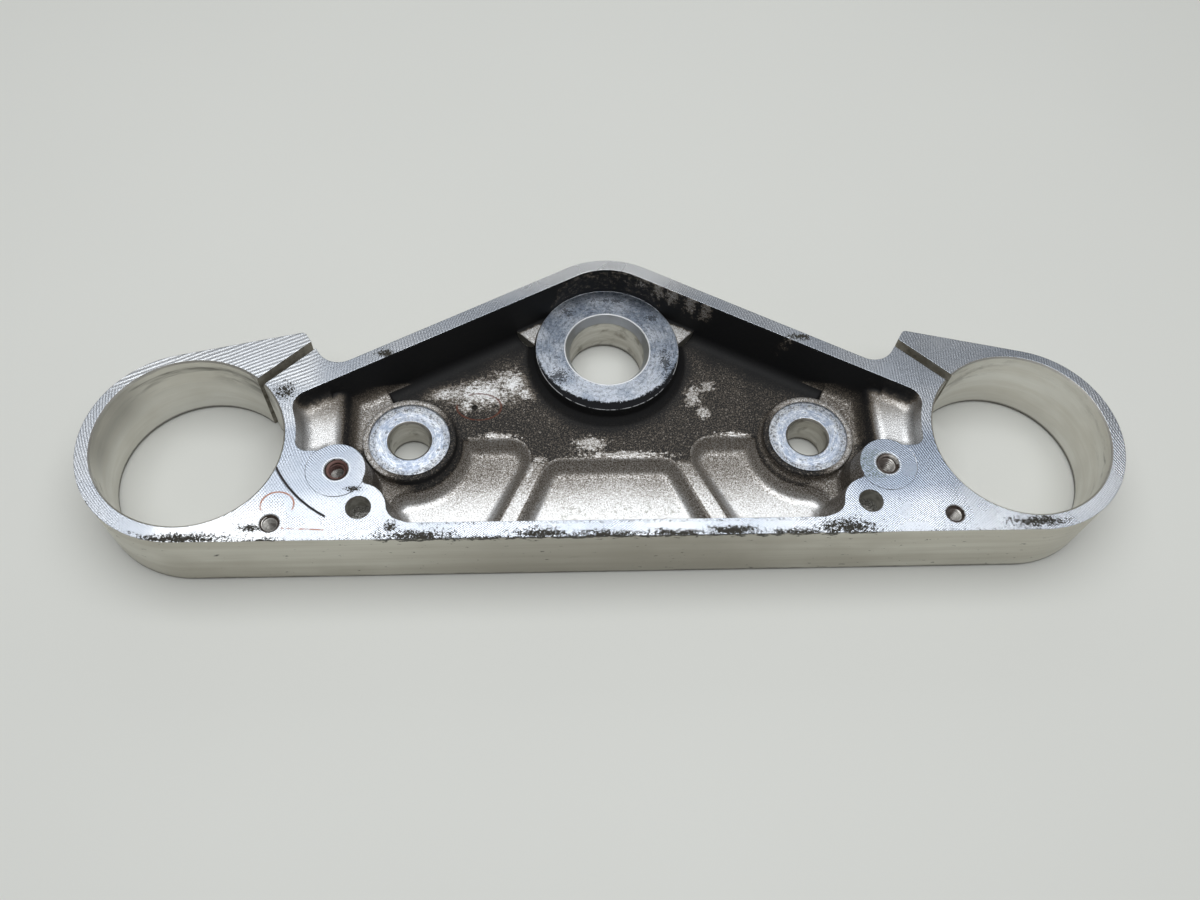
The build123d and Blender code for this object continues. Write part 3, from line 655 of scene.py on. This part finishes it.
def thread_crest():
    """Thread crests: bright where screws ran, red with rust high in the large one on the left."""
    f = Finish("thread_crest")
    cloud = f.noise(1.6, 4.0, roughness=0.6)
    fine = f.noise(0.4, 3.0, shift=4.0)
    colour = f.mix(f.rise(cloud, 0.3, 0.7), tone(190, 186, 180), tone(228, 226, 222))
    colour = f.mix(f.rise(fine, 0.5, 0.7) * 0.5, colour, tone(84, 74, 66))
    worn = f.between(f.x, 76.0, LARGE_THREAD.x + 0.6, 1.0)
    worn = worn | f.between(f.x, 93.0, SMALL_THREAD.x + 0.4, 0.8)
    colour = f.mix(worn * 0.75, colour, tone(74, 54, 44))
    rust = f.rise(f.z + (cloud - 0.5) * 3.0, 21.4, 22.6) * f.between(f.x, -84.0, -76.0, 1.0)
    colour = f.mix(rust * 0.9, colour, tone(84, 34, 22))
    normal = f.bump(cloud + fine * 0.5, 0.2, 0.04)
    return f.done(colour, cloud * 0.2 + 0.26 + rust * 0.2, 0.9 - rust * 0.6, normal)


FINISHES = {
    "milled_face": milled_face(),
    "side_wall": side_wall(),
    "outer_face": outer_face(),
    "fork_bore": fork_bore(),
    "turned_hole": turned_hole(),
    "stem_face": stem_face(),
    "riser_face": riser_face(),
    "cast_pocket": cast_pocket(),
    "cut_wall": cut_wall(),
    "dowel_hole": dowel_hole(),
    "large_thread": thread_root("large_thread", LARGE_THREAD, LARGE_MOUTH_R),
    "small_thread": thread_root("small_thread", SMALL_THREAD, SMALL_MOUTH_R),
}
CREST = thread_crest()


def zone(centre, normal):
    """The finish of a piece of the surface, from where it lies and which way it faces."""
    side = Vector((abs(centre.x), centre.y))
    from_stem = side.length
    from_fork, from_riser, from_large, from_small, from_dowel = [
        (side - place).length for place in (FORK, RISER, LARGE_THREAD, SMALL_THREAD, DOWEL)]
    upright = abs(normal.z) < 0.05
    if normal.z > 0.9 and centre.z > LARGE_FACE_Z - 0.05:
        return "milled_face"
    if upright and abs(from_large - LARGE_FACE_R) < NEAR and centre.z > LARGE_FACE_Z:
        return "milled_face"
    if normal.z < -0.9 and centre.z < NEAR:
        return "outer_face"
    if from_fork < FORK_R + 0.6:
        return "fork_bore"
    if from_stem < STEM_LEAD_R + NEAR or from_riser < RISER_HOLE_R + 0.7:
        return "turned_hole"
    if from_stem < STEM_FACE_R + NEAR and abs(centre.z - STEM_FACE_Z) < NEAR:
        return "stem_face"
    if from_riser < RISER_FACE_R + NEAR and centre.z > RISER_FACE_Z - NEAR:
        return "riser_face"
    if from_large < LARGE_MOUTH_R + NEAR:
        return "large_thread"
    if from_small < SMALL_MOUTH_R + NEAR:
        return "small_thread"
    if from_dowel < DOWEL_R + NEAR:
        return "dowel_hole"
    # The slot, and the pinch bolt's hole across it
    along = Vector((-math.cos(SLOT_ANGLE), math.sin(SLOT_ANGLE)))
    across = Vector((math.sin(SLOT_ANGLE), math.cos(SLOT_ANGLE)))
    from_slot = side - FORK - across * SLOT_OFFSET
    reach, off = from_slot.dot(along), from_slot.dot(across)
    if abs(off) < SLOT_HALF + NEAR and reach > FORK_R - 2:
        return "cut_wall"
    from_pinch = math.hypot(reach - PINCH_REACH, centre.z - THICKNESS / 2)
    if from_pinch < PINCH_HEAD_R + NEAR and PINCH_END - NEAR < off < EAR_OUTER:
        round_wall = abs(normal.z) > 0.02 or abs(normal.xy.dot(across)) < 0.2
        if round_wall or abs(off - PINCH_SEAT) < NEAR or off < PINCH_END + NEAR:
            return "cut_wall"
    # The outer walls, apart from the upright walls of the webs and of the cut behind the stem boss
    outward = normal.xy.dot(centre.xy) > 0 and from_stem > STEM_FACE_R + 2.5
    in_web = from_stem < WEB_REACH and centre.z < WEB_Z + NEAR and centre.y > 0 and not outward
    behind_boss = from_stem < STEM_FACE_R + NEAR and centre.z > STEM_FACE_Z
    if normal.z < -0.3 or (upright and not in_web and not behind_boss):
        return "side_wall"
    return "cast_pocket"


mesh = clamp.data
mesh.materials.clear()
order = list(FINISHES)
for name in order:
    mesh.materials.append(FINISHES[name])
for polygon in mesh.polygons:
    polygon.material_index = order.index(zone(polygon.center * 1000, polygon.normal))


def thread(name, place, core_r, pitch, depth, mouth_z):
    """A ridge that winds down the wall of a tapped hole, from within its cone-shaped mouth."""
    turn = 40
    sunk = 0.05
    lead = pitch * 0.45
    half = pitch * 0.34
    height = pitch * 0.34
    steps = int((depth - lead) / pitch * turn)
    profile = [(sunk, -half), (-height, -half * 0.25), (-height, half * 0.25), (sunk, half)]
    work = bmesh.new()
    rows = []
    for step in range(steps + 1):
        angle = 2 * math.pi * step / turn
        middle = mouth_z - lead - pitch * step / turn
        fade = min(1.0, step / turn * 2)
        row = []
        for out, lift in profile:
            z = middle + lift
            wall_r = core_r + max(0.0, z - mouth_z + MOUTH_DEPTH)
            r = wall_r + sunk + (out - sunk) * fade
            spot = Vector((place[0] + r * math.cos(angle), place[1] + r * math.sin(angle), z))
            row.append(work.verts.new(spot / 1000))
        rows.append(row)
    for one, two in zip(rows, rows[1:]):
        for a in range(len(profile) - 1):
            work.faces.new((one[a], two[a], two[a + 1], one[a + 1]))
    work.faces.new(rows[0])
    work.faces.new(list(reversed(rows[-1])))
    bmesh.ops.recalc_face_normals(work, faces=work.faces)
    shape = bpy.data.meshes.new(name)
    work.to_mesh(shape)
    work.free()
    piece = bpy.data.objects.new(name, shape)
    bpy.context.collection.objects.link(piece)
    shape.materials.append(CREST)
    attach(piece, "root")


for hand, word in ((-1, "left"), (1, "right")):
    large_place = (hand * LARGE_THREAD.x, LARGE_THREAD.y)
    small_place = (hand * SMALL_THREAD.x, SMALL_THREAD.y)
    thread(f"large_thread_{word}", large_place, LARGE_CORE_R, LARGE_PITCH, LARGE_RIDGE_DEPTH, LARGE_FACE_Z)
    thread(f"small_thread_{word}", small_place, SMALL_CORE_R, SMALL_PITCH, SMALL_RIDGE_DEPTH, THICKNESS)


def table_top():
    """The pale plain floor."""
    f = Finish("table_top")
    cloud = f.noise(160.0, 2.0)
    colour = f.mix(cloud, tone(212, 213, 208), tone(217, 218, 213))
    return f.done(colour, 0.62, 0.0, f.bump(f.noise(1.6, 3.0), 0.05, 0.1))


floor_mesh = bpy.data.meshes.new("floor")
half, low = 3.0, -0.0001  # Just under the clamp's flat face, so that the two are not in one plane
corners = [(-half, -half, low), (half, -half, low), (half, half, low), (-half, half, low)]
floor_mesh.from_pydata(corners, [], [(0, 1, 2, 3)])
floor = bpy.data.objects.new("floor", floor_mesh)
bpy.context.collection.objects.link(floor)
floor_mesh.materials.append(table_top())

# The camera, as fitted to the photograph
right = Vector((0.99781, -0.04037, 0.05235))
down = Vector((-0.01011, -0.87578, -0.48260))
ahead = Vector((0.06533, 0.48101, -0.87428))
camera_data = bpy.data.cameras.new("camera")
camera_data.sensor_width = SENSOR_WIDTH
camera_data.sensor_fit = "HORIZONTAL"
camera_data.lens = SENSOR_WIDTH * FOCAL_LENGTH / PHOTO_WIDTH
camera_data.clip_start = 0.01
camera = bpy.data.objects.new("camera", camera_data)
turned = Matrix((right, -down, -ahead)).transposed().to_4x4()
turned.translation = Vector((-0.02551, -0.19656, 0.30639))
camera.matrix_world = turned
bpy.context.collection.objects.link(camera)
bpy.context.scene.camera = camera


def lamp(name, place, aim, size, power, colour, turn=0.0):
    """A soft rectangular lamp, aimed at a place and turned about its beam by some degrees."""
    data = bpy.data.lights.new(name, "AREA")
    data.shape = "RECTANGLE"
    data.size, data.size_y = size
    data.energy = power
    data.color = colour
    made = bpy.data.objects.new(name, data)
    made.location = place
    aimed = (Vector(aim) - Vector(place)).to_track_quat("-Z", "Y").to_matrix()
    made.rotation_euler = (aimed @ Matrix.Rotation(math.radians(turn), 3, "Z")).to_euler()
    bpy.context.collection.objects.link(made)


lamp("overhead", place=(0.0, -0.01, 0.85), aim=(0.0, -0.01, 0.0), size=(1.04, 0.80),
     power=7.0, colour=(0.97, 0.985, 1.0), turn=-7.0)
lamp("from_behind", place=(0.1, 1.5, 0.9), aim=(0.0, 0.0, 0.0), size=(1.6, 0.5),
     power=2.0, colour=(0.92, 0.96, 1.0))

world = bpy.data.worlds.new("room")
bpy.context.scene.world = world
world.use_nodes = True
sky = world.node_tree.nodes["Background"]
sky.inputs["Color"].default_value = (0.63, 0.63, 0.625, 1.0)
sky.inputs["Strength"].default_value = 0.36

bpy.context.scene.view_settings.view_transform = "Standard"
